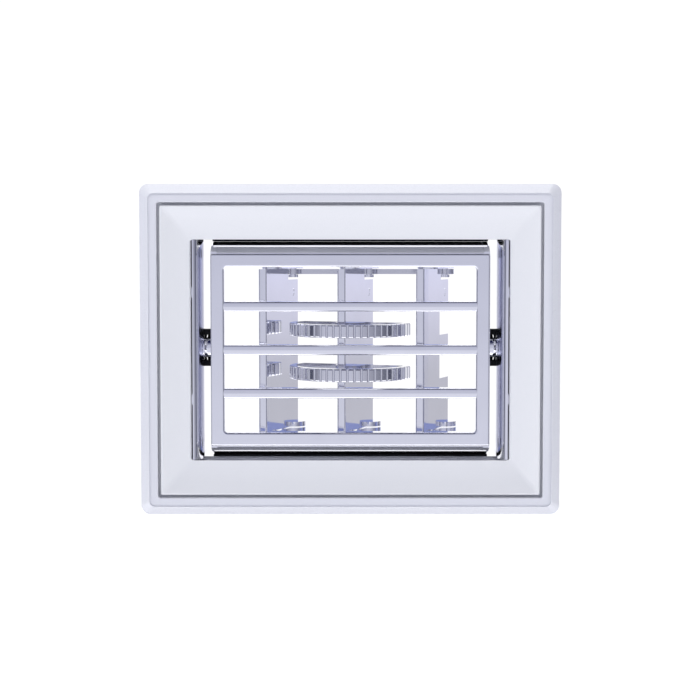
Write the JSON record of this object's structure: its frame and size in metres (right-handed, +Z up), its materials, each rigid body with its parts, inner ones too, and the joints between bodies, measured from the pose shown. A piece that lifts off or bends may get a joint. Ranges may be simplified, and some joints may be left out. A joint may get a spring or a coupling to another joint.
{
  "type": "louvred air grille",
  "caption": "Rectangular panel air grille: white frame around a chrome drum that pitches, with linked upright vanes turned by ribbed finger wheels.",
  "frame": {"origin": "centre of the mounting frame's rear face, which lies on the panel", "axes": "+X to the right of a person facing the grille, +Y back into the panel and duct, +Z up; the front faces -Y"},
  "size_m": [0.165, 0.0486, 0.13],
  "materials": {
    "white_abs": "gloss",
    "carrier_chrome": "polished",
    "drum_chrome": "polished",
    "vane_chrome": "polished",
    "bush_plastic": "satin",
    "pad_rubber": "matte",
    "seal_foam": "matte",
    "screw_steel": "satin"
  },
  "bodies": {
    "housing": {"mounting_frame": "white_abs", "cover_frame": "white_abs", "carrier_top_rail": "carrier_chrome", "carrier_bottom_rail": "carrier_chrome", "right_bearing_plate": "carrier_chrome", "left_bearing_plate": "carrier_chrome", "right_trunnion_bush": "carrier_chrome", "left_trunnion_bush": "carrier_chrome", "drum_seals": "seal_foam", "friction_pads": "pad_rubber", "carrier_screws": "screw_steel", "frame_screws": "screw_steel"},
    "drum": {"drum_front_grille": "drum_chrome", "drum_top_shell": "drum_chrome", "drum_bottom_shell": "drum_chrome", "drum_right_cheek": "drum_chrome", "drum_left_cheek": "drum_chrome", "drum_screws": "screw_steel", "vane_bushes": "bush_plastic"},
    "vane_left": {"vane_left": "vane_chrome"},
    "vane_middle": {"vane_middle": "vane_chrome", "finger_wheel_upper": "vane_chrome", "finger_wheel_lower": "vane_chrome"},
    "vane_right": {"vane_right": "vane_chrome"},
    "link_bar": {"link_bar": "vane_chrome"}
  },
  "joints": [
    {"name": "drum_pitch", "type": "hinge", "parent": "housing", "child": "drum", "pos_m": [0, 0.017, 0], "axis": [1, 0, 0], "range_deg": [-28, 28]},
    {"name": "vane_middle_yaw", "type": "hinge", "parent": "drum", "child": "vane_middle", "pos_m": [0, 0.017, 0], "axis": [0, 0, 1], "range_deg": [-10, 58]},
    {"name": "vane_left_yaw", "type": "hinge", "parent": "drum", "child": "vane_left", "pos_m": [-0.0313, 0.017, 0], "axis": [0, 0, 1], "range_deg": [-10, 58]},
    {"name": "vane_right_yaw", "type": "hinge", "parent": "drum", "child": "vane_right", "pos_m": [0.0313, 0.017, 0], "axis": [0, 0, 1], "range_deg": [-10, 58]},
    {"name": "link_bar_swing", "type": "hinge", "parent": "vane_middle", "child": "link_bar", "pos_m": [0.00768, 0.03601, 0.03025], "axis": [0, 0, 1], "range_deg": [-58, 10]}
  ],
  "couplings": [
    {"joint": "vane_left_yaw", "follows": "vane_middle_yaw", "ratio": 1},
    {"joint": "vane_right_yaw", "follows": "vane_middle_yaw", "ratio": 1},
    {"joint": "link_bar_swing", "follows": "vane_middle_yaw", "ratio": -1}
  ]
}
